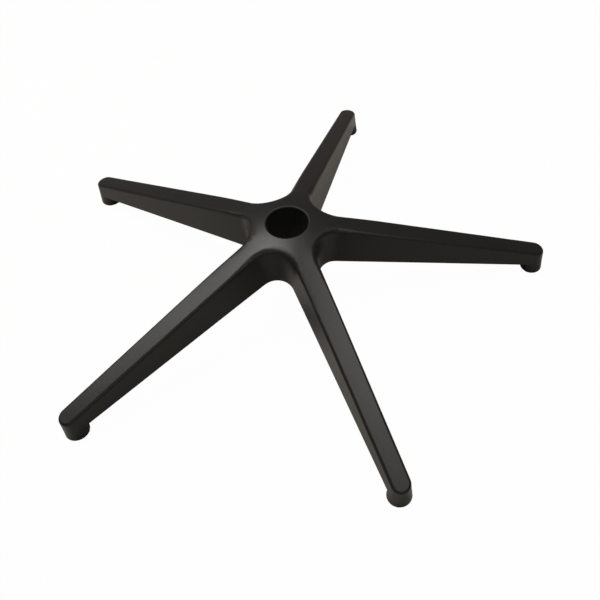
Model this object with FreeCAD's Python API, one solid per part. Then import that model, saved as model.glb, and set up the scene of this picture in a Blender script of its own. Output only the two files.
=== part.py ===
"""Five star base of an office chair: one light alloy casting, with a tapered socket for the
gas lift column in its hub and a stem hole for a caster under the tip of each leg.

Millimetres. The model is drawn with its caster seats at height zero and is then set down so
that its origin is the centre of the hub's mouth, with Z up the hub axis and one leg along X.
"""
import math
import os

import FreeCAD
import Part

# Plan of the star
LEG_COUNT = 5
CASTER_CIRCLE_R = 316.0  # hub axis to caster axis
TIP_R = 13.75  # rounded leg end, at the height of the caster seats
LEG_TAPER_DEG = 1.82  # each side of a leg closes in towards its tip
DRAFT_DEG = 4.5  # outer walls lean in towards the top
WEB_TOP_R = 35.0  # hollow corner between two legs, at the hub's mouth
WEB_FOOT_R = 9.7  # the same corner, carried down to the height of the caster seats

# Side view of a leg
LEG_TOP_SLOPE_DEG = 16.5
LEG_EDGE_SLOPE_DEG = 10.0  # lower edge of the leg's walls
TIP_TOP_Z = 34.3  # top of the leg over the caster axis
TIP_EDGE_Z = 14.2  # lower edge of the leg at the caster axis
TOP_EDGE_R = 3.5  # rounding along the whole top outline

# Hub and tapered socket
HUB_DOME_EDGE_R = 58.0  # where the domed hub runs into the straight legs
SOCKET_MOUTH_R = 25.0
SOCKET_HALF_ANGLE_DEG = 1.4378
SOCKET_RIM = 1.0  # slant round the mouth
HUB_TUBE_END_Z = 55.0  # lower end of the socket's tube
HUB_TUBE_WALL = 6.5

# Underside
WALL = 4.0  # side walls of the open channels
ROOF = 5.0  # top skin over the channels
RIB = 3.0  # thickness of the ribs
RIB_RECESS = 7.0  # ribs stop short of the lower edge
RIB_RADII = (112.0, 176.0, 240.0)  # cross ribs along each leg

# Caster seats
SEAT_R = 14.2  # lower rim of the round seat
SEAT_TOP_Z = 19.0  # where the seat runs into the wall of the tip
STEM_R = 5.55
STEM_DEPTH = 25.0

# Derived values
STEP = 360.0 / LEG_COUNT
SIDE_DEG = 90.0 - LEG_TAPER_DEG
DRAFT = math.tan(math.radians(DRAFT_DEG))
TOP_ANGLE = math.radians(LEG_TOP_SLOPE_DEG)
TOP_SLOPE = math.tan(TOP_ANGLE)
EDGE_SLOPE = math.tan(math.radians(LEG_EDGE_SLOPE_DEG))
SOCKET_SLOPE = math.tan(math.radians(SOCKET_HALF_ANGLE_DEG))
DOME_R = HUB_DOME_EDGE_R / math.sin(TOP_ANGLE)
REACH = CASTER_CIRCLE_R + 2.0 * TIP_R
TAPER = math.radians(LEG_TAPER_DEG)
LEG_SPREAD = CASTER_CIRCLE_R * math.sin(TAPER)
WEB_LEVER = math.sin(math.radians(STEP / 2.0 + LEG_TAPER_DEG))
TUBE_R = SOCKET_MOUTH_R + HUB_TUBE_WALL
MATCH = 0.01  # how near an edge lies to the surface it is looked for on
ORIGIN = FreeCAD.Vector(0, 0, 0)
UP = FreeCAD.Vector(0, 0, 1)


def polar(radius, angle_deg, z=0.0):
    """Point at a radius and an angle around the hub axis."""
    angle = math.radians(angle_deg)
    return FreeCAD.Vector(radius * math.cos(angle), radius * math.sin(angle), z)


def top_z(radius):
    """Height of the straight top of the legs, continued over the hub."""
    return TIP_TOP_Z + (CASTER_CIRCLE_R - radius) * TOP_SLOPE


def edge_z(radius):
    """Height of the lower edge of the legs' walls."""
    return TIP_EDGE_Z + (CASTER_CIRCLE_R - radius) * EDGE_SLOPE


DOME_CENTRE_Z = top_z(HUB_DOME_EDGE_R) - DOME_R * math.cos(TOP_ANGLE)


def dome_z(radius):
    """Height of the hub's dome, which is tangent to the legs' tops."""
    return DOME_CENTRE_Z + math.sqrt(DOME_R ** 2 - radius ** 2)


HUB_MOUTH_Z = dome_z(SOCKET_MOUTH_R)


def star_outline(z):
    """Outer outline of the star at one height: tips, sides and hollow corners, all tangent."""
    tip_r = TIP_R - z * DRAFT
    web_r = WEB_FOOT_R + (WEB_TOP_R - WEB_FOOT_R) * z / HUB_MOUTH_Z
    web_axis_r = (web_r + tip_r + LEG_SPREAD) / WEB_LEVER
    edges = []
    for index in range(LEG_COUNT):
        leg = index * STEP
        bisector = leg + STEP / 2.0
        tip = polar(CASTER_CIRCLE_R, leg, z)
        next_tip = polar(CASTER_CIRCLE_R, leg + STEP, z)
        web = polar(web_axis_r, bisector, z)
        right = tip + polar(tip_r, leg - SIDE_DEG)
        nose = tip + polar(tip_r, leg)
        left = tip + polar(tip_r, leg + SIDE_DEG)
        web_start = web - polar(web_r, leg + SIDE_DEG)
        web_middle = web - polar(web_r, bisector)
        web_end = web - polar(web_r, leg + STEP - SIDE_DEG)
        next_right = next_tip + polar(tip_r, leg + STEP - SIDE_DEG)
        edges.append(Part.Arc(right, nose, left).toShape())
        edges.append(Part.LineSegment(left, web_start).toShape())
        edges.append(Part.Arc(web_start, web_middle, web_end).toBSpline().toShape())
        edges.append(Part.LineSegment(web_end, next_right).toShape())
    return Part.Wire(edges)


def star_prism():
    """Drafted prism on the star outline, taller than the base at both ends."""
    return Part.makeLoft([star_outline(-WALL), star_outline(dome_z(0.0) + WALL)], True, True)


def straight_edges(points):
    """Edges of the closed polygon through some points."""
    loop = points + points[:1]
    return [Part.LineSegment(a, b).toShape() for a, b in zip(loop, loop[1:])]


def revolved(edges):
    """Solid of revolution about the hub axis from a closed profile in the XZ plane."""
    return Part.Face(Part.Wire(edges)).revolve(ORIGIN, UP, 360.0)


def under_top():
    """Everything under the hub's dome and the legs' tops, down to the caster seats."""
    middle_r = DOME_R * math.sin(TOP_ANGLE / 2.0)
    crown = FreeCAD.Vector(0, 0, dome_z(0.0))
    middle = FreeCAD.Vector(middle_r, 0, dome_z(middle_r))
    seam = FreeCAD.Vector(HUB_DOME_EDGE_R, 0, top_z(HUB_DOME_EDGE_R))
    far = FreeCAD.Vector(REACH, 0, top_z(REACH))
    far_low = FreeCAD.Vector(REACH, 0, 0)
    axis_low = FreeCAD.Vector(0, 0, 0)
    return revolved([
        Part.Arc(crown, middle, seam).toShape(),
        Part.LineSegment(seam, far).toShape(),
        Part.LineSegment(far, far_low).toShape(),
        Part.LineSegment(far_low, axis_low).toShape(),
        Part.LineSegment(axis_low, crown).toShape(),
    ])


def under_edge(rise):
    """Everything under the legs' lower edge, raised by a recess."""
    points = [
        FreeCAD.Vector(0, 0, -WALL),
        FreeCAD.Vector(REACH, 0, -WALL),
        FreeCAD.Vector(REACH, 0, edge_z(REACH) + rise),
        FreeCAD.Vector(0, 0, edge_z(0.0) + rise),
    ]
    return revolved(straight_edges(points))


def tip_core():
    """Solid round core of the tip of the leg along X, flush with the drafted walls."""
    high_z = top_z(CASTER_CIRCLE_R - 2.0 * TIP_R)
    return Part.makeCone(TIP_R, TIP_R - high_z * DRAFT, high_z, polar(CASTER_CIRCLE_R, 0.0))


def caster_seats():
    """Round seats under the tips, which widen from the tips' walls to their lower rims."""
    top_r = TIP_R - SEAT_TOP_Z * DRAFT
    return [
        Part.makeCone(SEAT_R, top_r, SEAT_TOP_Z, polar(CASTER_CIRCLE_R, index * STEP))
        for index in range(LEG_COUNT)
    ]


def edges_on_top(shape):
    """Edges where upright walls meet the dome and the legs' tops."""
    found = []
    for edge in shape.Edges:
        middle = edge.valueAt((edge.FirstParameter + edge.LastParameter) / 2.0)
        radius = math.hypot(middle.x, middle.y)
        height = dome_z(radius) if radius < HUB_DOME_EDGE_R else top_z(radius)
        if abs(middle.z - height) < MATCH and abs(radius - HUB_DOME_EDGE_R) > MATCH:
            found.append(edge)
    return found


def cross_rib(radius):
    """Rib across the channel of the leg along X, which stops short of the leg's lower edge."""
    corner = FreeCAD.Vector(radius - RIB / 2.0, -TUBE_R, 0)
    return Part.makeBox(RIB, 2.0 * TUBE_R, top_z(0.0), corner).cut(under_edge(RIB_RECESS))


def socket_r(z):
    """Radius of the tapered socket at one height."""
    return SOCKET_MOUTH_R - (HUB_MOUTH_Z - z) * SOCKET_SLOPE


def socket_hole():
    """Tapered hole for the column, right through the hub, with a slanted rim at its mouth."""
    low_z = HUB_TUBE_END_Z - WALL
    high_z = HUB_MOUTH_Z + WALL
    rim_z = HUB_MOUTH_Z - SOCKET_RIM
    rim_r = SOCKET_MOUTH_R + SOCKET_RIM
    points = [
        FreeCAD.Vector(0, 0, low_z),
        FreeCAD.Vector(socket_r(low_z), 0, low_z),
        FreeCAD.Vector(socket_r(rim_z), 0, rim_z),
        FreeCAD.Vector(rim_r, 0, dome_z(rim_r)),
        FreeCAD.Vector(rim_r, 0, high_z),
        FreeCAD.Vector(0, 0, high_z),
    ]
    return revolved(straight_edges(points))


def stem_hole(angle_deg):
    """Blind hole for a caster stem."""
    return Part.makeCylinder(STEM_R, STEM_DEPTH, polar(CASTER_CIRCLE_R, angle_deg))


def build_outer(tube):
    """Solid outer form: star walls, domed top, sloping lower edge, caster seats and socket."""
    body = star_prism().common(under_top()).cut(under_edge(0.0))
    body = body.makeFillet(TOP_EDGE_R, edges_on_top(body))
    return body.fuse(caster_seats() + [tube]).cut(socket_hole())


def channel_section(x):
    """Section of the channel under the leg along X: the leg's drafted walls, less their thickness."""
    low_z = -WALL
    high_z = top_z(x) - ROOF / math.cos(TOP_ANGLE)
    spread = (CASTER_CIRCLE_R - x) * math.sin(TAPER) - WALL
    low = (TIP_R - low_z * DRAFT + spread) / math.cos(TAPER)
    high = (TIP_R - high_z * DRAFT + spread) / math.cos(TAPER)
    corners = [(-low, low_z), (low, low_z), (high, high_z), (-high, high_z)]
    return [FreeCAD.Vector(x, y, z) for y, z in corners]


def flat_sided(start, end):
    """Solid with flat faces between two sections that have their corners in the same order."""
    loops = [start, end]
    for index in range(len(start)):
        loops.append([start[index - 1], start[index], end[index], end[index - 1]])
    faces = [Part.Face(Part.Wire(straight_edges(loop))) for loop in loops]
    return Part.Solid(Part.Shell(faces))


def build_channels(tube):
    """Channels under the legs, which leave the skin, walls, cross ribs, tube and tips."""
    channel = flat_sided(channel_section(0.0), channel_section(CASTER_CIRCLE_R))
    ribs = [cross_rib(radius) for radius in RIB_RADII]
    channel = channel.cut([tube, tip_core()] + ribs)
    channels = []
    for index in range(LEG_COUNT):
        channels.append(channel.copy())
        channels[-1].rotate(ORIGIN, UP, index * STEP)
    return channels


def build_base():
    """The whole casting, standing on its caster seats at height zero."""
    tube_top = HUB_MOUTH_Z - ROOF / 2.0
    tube = Part.makeCylinder(TUBE_R, tube_top - HUB_TUBE_END_Z, FreeCAD.Vector(0, 0, HUB_TUBE_END_Z))
    base = build_outer(tube).cut(build_channels(tube))
    base = base.cut([stem_hole(index * STEP) for index in range(LEG_COUNT)])
    return base.removeSplitter().Solids[0]


if __name__ == "__main__":
    star_base = build_base()
    star_base.translate(FreeCAD.Vector(0, 0, -HUB_MOUTH_Z))
    os.makedirs("parts", exist_ok=True)
    star_base.exportStep("parts/star_base.step")
    print(star_base.isValid(), len(star_base.Faces), star_base.Volume, HUB_MOUTH_Z)
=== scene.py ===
"""Looks of a swivel chair's cast star base: satin black powder coat in a plain pale studio."""

import logging
import math
from dataclasses import dataclass
from enum import Enum
from typing import Any

import bmesh
import bpy
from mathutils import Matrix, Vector


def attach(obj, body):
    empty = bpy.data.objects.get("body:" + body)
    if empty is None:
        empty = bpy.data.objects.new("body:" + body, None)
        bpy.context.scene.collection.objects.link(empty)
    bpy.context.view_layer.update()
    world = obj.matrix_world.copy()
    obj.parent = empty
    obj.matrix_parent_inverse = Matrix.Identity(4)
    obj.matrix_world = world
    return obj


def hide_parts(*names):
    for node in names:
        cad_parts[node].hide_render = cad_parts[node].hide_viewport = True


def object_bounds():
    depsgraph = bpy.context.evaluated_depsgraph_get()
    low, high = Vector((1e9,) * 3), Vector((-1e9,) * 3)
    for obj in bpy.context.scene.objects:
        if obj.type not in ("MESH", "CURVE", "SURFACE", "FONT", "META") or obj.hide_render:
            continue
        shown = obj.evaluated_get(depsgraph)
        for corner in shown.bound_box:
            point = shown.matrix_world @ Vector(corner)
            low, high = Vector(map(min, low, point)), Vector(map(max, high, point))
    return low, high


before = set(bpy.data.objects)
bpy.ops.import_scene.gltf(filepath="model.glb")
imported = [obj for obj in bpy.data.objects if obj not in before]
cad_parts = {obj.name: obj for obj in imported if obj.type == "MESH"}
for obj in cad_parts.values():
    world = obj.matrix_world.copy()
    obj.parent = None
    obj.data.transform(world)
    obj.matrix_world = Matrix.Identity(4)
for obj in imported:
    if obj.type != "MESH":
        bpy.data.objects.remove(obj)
CAD_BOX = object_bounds()
LOG = logging.getLogger("star_base")
Colour = tuple[float, float, float]
Shade = tuple[float, float, float, float]
Point = tuple[float, float, float]
Pattern = tuple[float, float]
Settings = dict[str, Any]
Inputs = dict[str | int, Any]
WHITE: Shade = (1.0, 1.0, 1.0, 1.0)


def ease(share: float) -> float:
    """Gives a smooth step from 0 to 1."""
    return share * share * (3.0 - 2.0 * share)


class Ray(Enum):
    """Kinds of ray that see the pale background."""

    CAMERA = "Is Camera Ray"
    GLOSSY = "Is Glossy Ray"
    TRANSMISSION = "Is Transmission Ray"


class Socket:
    """Output of a node, whose arithmetic adds Math nodes to the same tree."""

    def __init__(self, graph: "Graph", output: bpy.types.NodeSocket) -> None:
        """Keeps the tree and the output."""
        self.graph = graph
        self.output = output

    def math(self, operation: str, first: "Socket | float", second: "Socket | float") -> "Socket":
        """Adds one Math node.

        Args:
            operation: Name of the Math node's operation.
            first: First value.
            second: Second value.

        Returns:
            The result.
        """
        made = self.graph.node("ShaderNodeMath", {"operation": operation}, {0: first, 1: second})
        return Socket(self.graph, made.outputs[0])

    def __add__(self, other: "Socket | float") -> "Socket":
        """Sum."""
        return self.math("ADD", self, other)

    def __radd__(self, other: float) -> "Socket":
        """Sum with a number on the left."""
        return self.math("ADD", other, self)

    def __sub__(self, other: "Socket | float") -> "Socket":
        """Difference."""
        return self.math("SUBTRACT", self, other)

    def __rsub__(self, other: float) -> "Socket":
        """Difference from a number on the left."""
        return self.math("SUBTRACT", other, self)

    def __mul__(self, other: "Socket | float") -> "Socket":
        """Product."""
        return self.math("MULTIPLY", self, other)

    def __rmul__(self, other: float) -> "Socket":
        """Product with a number on the left."""
        return self.math("MULTIPLY", other, self)

    def larger(self, other: "Socket | float") -> "Socket":
        """The larger of two values."""
        return self.math("MAXIMUM", self, other)

    def below(self, limit: float) -> "Socket":
        """1 where the value is below a limit, otherwise 0."""
        return self.math("LESS_THAN", self, limit)


class Graph:
    """Node tree of a material or of the world."""

    def __init__(self, tree: bpy.types.NodeTree) -> None:
        """Empties the tree."""
        tree.nodes.clear()
        self.tree = tree

    def node(self, kind: str, settings: Settings, inputs: Inputs) -> bpy.types.Node:
        """Adds a node.

        Args:
            kind: Type of the node.
            settings: The node's own properties.
            inputs: Sockets to link or values to set, by the input's name or number.

        Returns:
            The new node.
        """
        made = self.tree.nodes.new(kind)
        for name, value in settings.items():
            setattr(made, name, value)
        for key, value in inputs.items():
            if isinstance(value, Socket):
                self.tree.links.new(value.output, made.inputs[key])
            else:
                made.inputs[key].default_value = value
        return made

    def socket(self, kind: str, settings: Settings, inputs: Inputs, output: str | int) -> Socket:
        """Adds a node and gives one of its outputs.

        Args:
            kind: Type of the node.
            settings: The node's own properties.
            inputs: Sockets to link or values to set, by the input's name or number.
            output: Name or number of the output.

        Returns:
            That output.
        """
        return Socket(self, self.node(kind, settings, inputs).outputs[output])

    def noise(self, where: Socket, pattern: Pattern) -> Socket:
        """Adds a noise texture.

        Args:
            where: Coordinates.
            pattern: Cells in a metre, and the number of finer layers.

        Returns:
            Its value from 0 to 1.
        """
        scale, detail = pattern
        inputs: Inputs = {"Vector": where, "Scale": scale, "Detail": detail}
        return self.socket("ShaderNodeTexNoise", {}, inputs, "Fac")

    def from_axis(self, where: Socket) -> Socket:
        """Measures how far a place lies from the upright axis through the origin.

        Args:
            where: Coordinates.

        Returns:
            The distance.
        """
        level: Inputs = {0: where, 1: (1.0, 1.0, 0.0)}
        flat = self.socket("ShaderNodeVectorMath", {"operation": "MULTIPLY"}, level, 0)
        return self.socket("ShaderNodeVectorMath", {"operation": "LENGTH"}, {0: flat}, "Value")

    def mix(self, share: Socket, low: "Socket | Shade", high: "Socket | Shade") -> Socket:
        """Mixes two colours.

        Args:
            share: Share of the second colour.
            low: First colour.
            high: Second colour.

        Returns:
            The mixed colour.
        """
        # The node has inputs of the same name for each kind of value, so colours go by number.
        return self.socket("ShaderNodeMix", {"data_type": "RGBA"}, {0: share, 6: low, 7: high}, 2)

    def bump(self, strength: float, distance: float, height: Socket, under: Socket | None) -> Socket:
        """Adds a bump.

        Args:
            strength: Share of the bump that shows.
            distance: Height of the bump, in metres.
            height: Pattern from 0 to 1.
            under: Normal of a coarser bump under it, if there is one.

        Returns:
            The bumped normal.
        """
        inputs: Inputs = {"Strength": strength, "Distance": distance, "Height": height}
        if under is not None:
            inputs["Normal"] = under
        return self.socket("ShaderNodeBump", {}, inputs, "Normal")

    def seen(self, *rays: Ray) -> Socket:
        """Tells whether a ray is of one of some kinds.

        Args:
            rays: Kinds of ray.

        Returns:
            1 for such a ray, otherwise 0.
        """
        path = self.node("ShaderNodeLightPath", {}, {})
        found = Socket(self, path.outputs[rays[0].value])
        for ray in rays[1:]:
            found = found.larger(Socket(self, path.outputs[ray.value]))
        return found

    def pale_share(self, direct: float, mirrored: float) -> Socket:
        """Gives the share of the plain pale background that a ray sees.

        Args:
            direct: Share for the camera, straight on or through something clear.
            mirrored: Share for reflections.

        Returns:
            The share, which is 0 for rays of light.
        """
        straight = self.seen(Ray.CAMERA, Ray.TRANSMISSION) * direct
        return straight.larger(self.seen(Ray.GLOSSY) * mirrored)


def new_material(name: str) -> tuple[bpy.types.Material, Graph]:
    """Starts an empty material.

    Args:
        name: Name of the material.

    Returns:
        The material and its node tree.
    """
    material = bpy.data.materials.new(name)
    material.use_nodes = True
    return material, Graph(material.node_tree)


@dataclass(frozen=True)
class PowderCoat:
    """Satin black powder coat with a fine orange peel, on a cast surface.

    Lengths are in metres. A pattern is its cells in a metre and the number of its finer layers.
    """

    dark: Colour = (0.0078, 0.0069, 0.0060)
    light: Colour = (0.0112, 0.0100, 0.0088)
    # Colour inside the socket: painted shade, darker than the coat where the deep bore lies in shadow.
    socket_shade: Colour = (0.0035, 0.0034, 0.0033)
    specular: float = 0.2
    rough: float = 0.35
    rough_spread: float = 0.07
    lip_rough: float = 0.56
    bare_rough: float = 0.62
    lip_radius: float = 0.0270
    socket_radius: float = 0.0252
    peel: Pattern = (620.0, 1.0)
    grain: Pattern = (2100.0, 2.0)
    cloud: Pattern = (14.0, 3.0)
    wave: Pattern = (26.0, 1.0)
    peel_share: float = 0.72
    cloud_share: float = 0.7
    peel_height: float = 0.00022
    peel_strength: float = 0.07
    wave_height: float = 0.0003
    wave_strength: float = 0.35

    def material(self) -> bpy.types.Material:
        """Builds the finish.

        Returns:
            The material.
        """
        material, graph = new_material("powder_coat_satin_black")
        where = graph.socket("ShaderNodeTexCoord", {}, {}, "Object")
        peel = graph.noise(where, self.peel)
        grain = graph.noise(where, self.grain)
        cloud = graph.noise(where, self.cloud)
        wave = graph.noise(where, self.wave)
        skin = peel * self.peel_share + grain * (1.0 - self.peel_share)
        cast = graph.bump(self.wave_strength, self.wave_height, wave, None)
        tint = cloud * self.cloud_share + grain * (1.0 - self.cloud_share)
        paint = graph.mix(tint, (*self.dark, 1.0), (*self.light, 1.0))
        from_axis = graph.from_axis(where)
        lip = from_axis.below(self.lip_radius)
        inside = from_axis.below(self.socket_radius)
        rough = self.rough + (cloud + grain - 1.0) * self.rough_spread
        rough += lip * (self.lip_rough - self.rough)
        rough += inside * (self.bare_rough - self.lip_rough)
        shader = graph.socket(
            "ShaderNodeBsdfPrincipled", {},
            {
                # The socket's inside takes the darker colour, which is painted shade.
                "Base Color": graph.mix(inside, paint, (*self.socket_shade, 1.0)),
                "Roughness": rough,
                "Specular IOR Level": self.specular,
                "Normal": graph.bump(self.peel_strength, self.peel_height, skin, cast),
            },
            "BSDF",
        )
        graph.node("ShaderNodeOutputMaterial", {}, {"Surface": shader})
        return material


@dataclass(frozen=True)
class PalePaper:
    """Pale matt floor that the camera sees almost white, with the object's shadow, and clear from below."""

    colour: Colour = (0.47, 0.44, 0.39)
    glow: float = 0.98
    mirrored_glow: float = 0.03

    def material(self) -> bpy.types.Material:
        """Builds the finish.

        Returns:
            The material.
        """
        material, graph = new_material("pale_paper")
        matt = graph.socket("ShaderNodeBsdfDiffuse", {}, {"Color": (*self.colour, 1.0)}, "BSDF")
        white = graph.socket("ShaderNodeEmission", {}, {"Strength": 1.0}, "Emission")
        share = graph.pale_share(self.glow, self.mirrored_glow)
        mixed = graph.socket("ShaderNodeMixShader", {}, {0: share, 1: matt, 2: white}, "Shader")
        clear = graph.socket("ShaderNodeBsdfTransparent", {}, {}, "BSDF")
        under = graph.socket("ShaderNodeNewGeometry", {}, {}, "Backfacing")
        sheet = graph.socket("ShaderNodeMixShader", {}, {0: under, 1: mixed, 2: clear}, "Shader")
        graph.node("ShaderNodeOutputMaterial", {}, {"Surface": sheet})
        return material


@dataclass
class StarBase:
    """The casting: sloping legs and a domed hub, with rounder edges in the corners between the legs.

    Lengths are in metres and angles in degrees. Height 0 is the socket's mouth. The height of the
    mouth itself and of a leg's tip are counted from the caster seats.
    """

    node: str = "star_base"
    slot: str = "powder_coat"

    # Care of the mesh
    merge: float = 0.000004
    on_surface: float = 0.00006
    flat: float = 0.15
    crease: float = 24.0
    fold: float = 150.0
    flat_lead: int = 80

    # Form of the solid
    legs: int = 5
    mouth_height: float = 0.11759665
    caster_circle: float = 0.316
    tip_radius: float = 0.01375
    tip_top: float = 0.0343
    taper: float = 1.82
    draft: float = 4.5
    top_slope: float = 16.5
    dome_edge: float = 0.058
    corner_top: float = 0.035
    corner_foot: float = 0.0097
    edge_round: float = 0.0035
    socket_radius: float = 0.025
    socket_slope: float = 1.4378
    rim: float = 0.001

    # Wider rounding in the corners: its radius, and how far it runs along and across the edge
    corner_round: float = 0.0072
    corner_full: float = 0.010
    corner_end: float = 0.075
    corner_reach: float = 0.015
    edge_zone: float = 1.3
    meet_rounds: int = 5

    # Lip of the socket, and the slant that it takes the place of
    lip_round: float = 0.0021
    lip_cuts: int = 5
    slant_depth: float = 0.002
    slant_reach: float = 0.0012

    # Slits in the socket's wall
    slit_floor: float = -0.0025
    slit_top: float = -0.0015
    slit_radius: float = 0.0276

    def top(self, radius: float) -> float:
        """Gives the height of the domed hub or of a leg's top.

        Args:
            radius: Distance from the hub's axis.

        Returns:
            The height over the socket's mouth.
        """
        slope = math.radians(self.top_slope)
        straight = self.tip_top + (self.caster_circle - max(radius, self.dome_edge)) * math.tan(slope)
        if radius < self.dome_edge:
            ball = self.dome_edge / math.sin(slope)
            straight += math.sqrt(ball * ball - radius * radius) - ball * math.cos(slope)
        return straight - self.mouth_height

    def corner(self, point: Vector) -> tuple[Vector, float, float]:
        """Finds where the top and the wall beside a point would meet with no rounding.

        Args:
            point: Place on the casting.

        Returns:
            That meeting place, its way along the edge from the corner's middle, and the point's
            depth in the wall.
        """
        step = math.tau / self.legs
        taper = math.radians(self.taper)
        spread = self.caster_circle * math.sin(taper)
        bend = (math.pi - step) / 2.0 - taper
        bisector = (math.floor(math.atan2(point.y, point.x) / step) + 0.5) * step
        outward = Vector((math.cos(bisector), math.sin(bisector), 0.0))
        sideways = Vector((-outward.y, outward.x, 0.0))
        side = math.copysign(1.0, sideways.dot(point))
        height = point.z
        depths = []
        for _ in range(self.meet_rounds):
            share = height / self.mouth_height + 1.0
            hollow = self.corner_foot + (self.corner_top - self.corner_foot) * share
            tip = self.tip_radius - (height + self.mouth_height) * math.tan(math.radians(self.draft))
            centre = outward * ((hollow + tip + spread) / math.sin(step / 2.0 + taper))
            away = Vector((point.x, point.y, 0.0)) - centre
            turn = min(abs(away.angle(-outward)), bend)
            across = side * math.sin(turn) * sideways - math.cos(turn) * outward
            along = side * math.cos(turn) * sideways + math.sin(turn) * outward
            depths.append(across.dot(away) - hollow)
            past = along.dot(away)
            meet = centre + across * hollow + along * past
            height = self.top(meet.length)
        meet.z = height
        # The first round is the one at the point's own height.
        return meet, turn * hollow + past, depths[0]

    def round_corners(self, bm: bmesh.types.BMesh) -> None:
        """Widens the rounding of the top edge in the hollow corners between the legs.

        Args:
            bm: Mesh of the casting.
        """
        near = self.edge_zone * self.edge_round
        for vert in bm.verts:
            meet, way, depth = self.corner(vert.co)
            gap = (vert.co - meet).length
            if way > self.corner_end or gap > self.corner_reach or gap == 0.0:
                continue
            on_top = abs(vert.co.z - self.top(vert.co.to_2d().length)) < self.on_surface
            on_wall = abs(depth) <= self.on_surface
            if gap > near and not on_top and not on_wall:
                continue
            share = min(1.0, (self.corner_end - way) / (self.corner_end - self.corner_full))
            grow = 1.0 + (self.corner_round / self.edge_round - 1.0) * ease(share)
            moved = gap * grow
            if gap > near:
                spare = (self.corner_reach - near * grow) / (self.corner_reach - near)
                moved = self.corner_reach - (self.corner_reach - gap) * spare
            vert.co = meet + (vert.co - meet) * (moved / gap)

    def close_slits(self, bm: bmesh.types.BMesh) -> None:
        """Closes the thin slits that the solid has in the socket's wall, just under its mouth.

        Args:
            bm: Mesh of the casting.
        """
        ring, loose = [], []
        for vert in bm.verts:
            radius = vert.co.to_2d().length
            if radius < self.slit_radius and self.slit_floor - self.on_surface < vert.co.z < self.slit_top:
                if vert.co.z < self.slit_floor + self.on_surface and radius < self.socket_radius:
                    ring.append(vert)
                else:
                    loose.append(vert)
        targets = {vert: min(ring, key=lambda end: (end.co - vert.co).length) for vert in loose}
        bmesh.ops.weld_verts(bm, targetmap=targets)
        kept = set(ring)
        inner = [face for face in bm.faces if kept.issuperset(face.verts)]
        bmesh.ops.delete(bm, geom=inner, context="FACES")
        LOG.info("slits in the socket's wall: %d vertices closed", len(loose))

    def mend_folds(self, bm: bmesh.types.BMesh) -> None:
        """Pulls each vertex at which the solid's triangles fold over back between its neighbours.

        Args:
            bm: Mesh of the casting.
        """
        bm.normal_update()
        folded = [edge for edge in bm.edges if edge.calc_face_angle(0.0) > math.radians(self.fold)]
        ends = [vert for edge in folded for vert in edge.verts]
        strays = [vert for vert in dict.fromkeys(ends) if ends.count(vert) > 1]
        bmesh.ops.smooth_vert(
            bm, verts=strays, factor=1.0, use_axis_x=True, use_axis_y=True, use_axis_z=True
        )
        LOG.info("folds: %d vertices pulled back", len(strays))

    def at_mouth(self, vert: bmesh.types.BMVert) -> bool:
        """Tells whether a vertex lies on the slant round the socket's mouth."""
        radius = vert.co.to_2d().length
        return vert.co.z > -self.slant_depth and radius < self.socket_radius + self.slant_reach

    def round_mouth(self, bm: bmesh.types.BMesh) -> None:
        """Turns the slant at the socket's mouth into a rounded lip.

        Args:
            bm: Mesh of the casting.
        """
        slants = []
        for edge in bm.edges:
            radii = [vert.co.to_2d().length for vert in edge.verts if self.at_mouth(vert)]
            if len(radii) == 2 and max(radii) - min(radii) > self.rim / 2.0:
                slants.append(edge)
        bmesh.ops.subdivide_edges(bm, edges=slants, cuts=self.lip_cuts, use_grid_fill=True)
        lip = [vert for vert in bm.verts if self.at_mouth(vert)]
        reach = [vert.co.to_2d().length for vert in lip]
        inner, outer = min(reach), max(reach)
        crown = self.top(self.socket_radius + self.lip_round)
        for vert, radius in zip(lip, reach):
            turn = (outer - radius) / (outer - inner) * math.pi / 2.0
            drop = self.lip_round * (1.0 - math.cos(turn))
            wall = self.socket_radius - drop * math.tan(math.radians(self.socket_slope))
            scale = (wall + self.lip_round * (1.0 - math.sin(turn))) / radius
            vert.co = Vector((vert.co.x * scale, vert.co.y * scale, crown - drop))
        LOG.info("lip of the socket: %d vertices", len(lip))

    def shape(self) -> bpy.types.Mesh:
        """Copies the solid's faces, mends and rounds them, and shades them smooth.

        Returns:
            The mesh of the casting.
        """
        mesh = bpy.data.meshes.new("star_base_cast")
        bm = bmesh.new()
        bm.from_mesh(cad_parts[self.node].data)
        bmesh.ops.remove_doubles(bm, verts=bm.verts, dist=self.merge)
        self.close_slits(bm)
        self.mend_folds(bm)
        self.round_corners(bm)
        bmesh.ops.dissolve_limit(
            bm, angle_limit=math.radians(self.flat), verts=bm.verts, edges=bm.edges, delimit=set()
        )
        self.round_mouth(bm)
        for face in bm.faces:
            face.smooth = True
        bm.to_mesh(mesh)
        bm.free()
        mesh.set_sharp_from_angle(angle=math.radians(self.crease))
        return mesh

    def build(self, coat: PowderCoat) -> bpy.types.Object:
        """Makes the casting and dresses it.

        Args:
            coat: Finish of the whole surface.

        Returns:
            The piece.
        """
        piece = bpy.data.objects.new("star_base_cast", self.shape())
        bpy.context.scene.collection.objects.link(piece)
        piece.data.materials.clear()
        piece.data.materials.append(coat.material())
        weighted = piece.modifiers.new("flat_faces_lead", "WEIGHTED_NORMAL")
        weighted.mode = "FACE_AREA"
        weighted.weight = self.flat_lead
        weighted.keep_sharp = True
        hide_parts(self.node)
        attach(piece, "root")
        return piece


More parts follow.
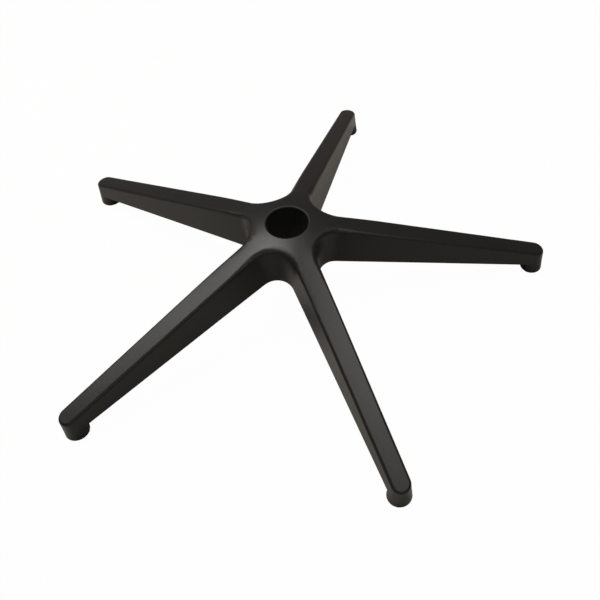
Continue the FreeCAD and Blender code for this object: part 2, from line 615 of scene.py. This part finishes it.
@dataclass(frozen=True)
class Softbox:
    """Rectangular studio lamp that hangs level or tilted towards the back.

    Lengths are in metres, angles in degrees and the power in watts.
    """

    name: str
    place: Point
    size: tuple[float, float]
    power: float
    turn: float
    tilt: float = 0.0

    def build(self) -> bpy.types.Object:
        """Makes the lamp.

        Returns:
            The lamp.
        """
        data = bpy.data.lights.new(self.name, "AREA")
        data.shape = "RECTANGLE"
        data.size, data.size_y = self.size
        data.energy = self.power
        lamp = bpy.data.objects.new(self.name, data)
        lamp.location = self.place
        lamp.rotation_euler = (math.radians(self.tilt), 0.0, math.radians(self.turn))
        lamp.visible_camera = False
        bpy.context.scene.collection.objects.link(lamp)
        return lamp


@dataclass
class Studio:
    """Floor, world, lamps and camera.

    Lengths are in metres and angles in degrees. The camera's lens and sensor are in millimetres.
    """

    floor_radius: float = 6.0
    floor_sides: int = 96
    floor_gap: float = 0.0002
    sky: Colour = (1.0, 0.93, 0.85)
    sky_strength: float = 0.14
    sky_glow: float = 0.98
    sky_mirrored: float = 0.02
    camera_place: Point = (0.0287, -0.5794, 0.6026)
    camera_turn: Point = (36.08, 0.0, -6.0)
    camera_lens: float = 41.94
    camera_sensor: float = 36.0
    camera_shift: tuple[float, float] = (-0.1043, 0.0228)

    def floor(self, paper: PalePaper) -> bpy.types.Object:
        """Lays the floor under the caster seats.

        Args:
            paper: Finish of the floor.

        Returns:
            The floor.
        """
        bm = bmesh.new()
        bmesh.ops.create_circle(bm, cap_ends=True, segments=self.floor_sides, radius=self.floor_radius)
        bmesh.ops.translate(bm, verts=bm.verts, vec=(0.0, 0.0, CAD_BOX[0].z - self.floor_gap))
        mesh = bpy.data.meshes.new("floor")
        bm.to_mesh(mesh)
        bm.free()
        floor = bpy.data.objects.new("floor", mesh)
        bpy.context.scene.collection.objects.link(floor)
        mesh.materials.append(paper.material())
        return floor

    def world(self) -> None:
        """Gives the room a dim even light, and the camera a pale background."""
        world = bpy.data.worlds.new("studio")
        world.use_nodes = True
        graph = Graph(world.node_tree)
        share = graph.pale_share(self.sky_glow, self.sky_mirrored)
        dim: Inputs = {"Color": (*self.sky, 1.0), "Strength": self.sky_strength}
        room = graph.socket("ShaderNodeBackground", {}, dim, "Background")
        white = graph.socket("ShaderNodeBackground", {}, {"Color": WHITE}, "Background")
        mixed = graph.socket("ShaderNodeMixShader", {}, {0: share, 1: room, 2: white}, "Shader")
        graph.node("ShaderNodeOutputWorld", {}, {"Surface": mixed})
        bpy.context.scene.world = world

    def lamps(self) -> list[bpy.types.Object]:
        """Hangs the lamps square to the camera.

        Returns:
            The lamps.
        """
        turn = self.camera_turn[2]
        boxes = [
            Softbox("key", (-0.32, 0.46, 1.10), (0.50, 0.58), 13.6, turn),
            Softbox("strip_left", (-1.02, 0.42, 1.10), (0.95, 0.50), 11.0, turn),
            Softbox("fill_right", (0.40, -0.13, 1.10), (0.45, 0.70), 7.2, turn),
            Softbox("fill_front", (0.30, -1.55, 1.05), (2.40, 1.00), 6.5, turn, tilt=58.0),
        ]
        return [box.build() for box in boxes]

    def camera(self) -> bpy.types.Object:
        """Sets the camera at the photograph's viewing angle.

        Returns:
            The camera.
        """
        data = bpy.data.cameras.new("camera")
        data.sensor_width = self.camera_sensor
        data.lens = self.camera_lens
        data.shift_x, data.shift_y = self.camera_shift
        camera = bpy.data.objects.new("camera", data)
        camera.location = self.camera_place
        camera.rotation_euler = [math.radians(turn) for turn in self.camera_turn]
        bpy.context.scene.collection.objects.link(camera)
        bpy.context.scene.camera = camera
        return camera

    def build(self, paper: PalePaper) -> list[bpy.types.Object]:
        """Builds the whole studio.

        Args:
            paper: Finish of the floor.

        Returns:
            The floor, the lamps and the camera.
        """
        bpy.context.scene.view_settings.view_transform = "Standard"
        floor = self.floor(paper)
        self.world()
        return [floor, *self.lamps(), self.camera()]


def main() -> None:
    """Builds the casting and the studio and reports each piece."""
    logging.basicConfig(level=logging.INFO, format="%(name)s: %(message)s")
    casting = StarBase().build(PowderCoat())
    LOG.info("%s: %d faces", casting.name, len(casting.data.polygons))
    for piece in Studio().build(PalePaper()):
        LOG.info("%s: at %.2f, %.2f, %.2f m", piece.name, *piece.location)


if __name__ == "__main__":
    main()
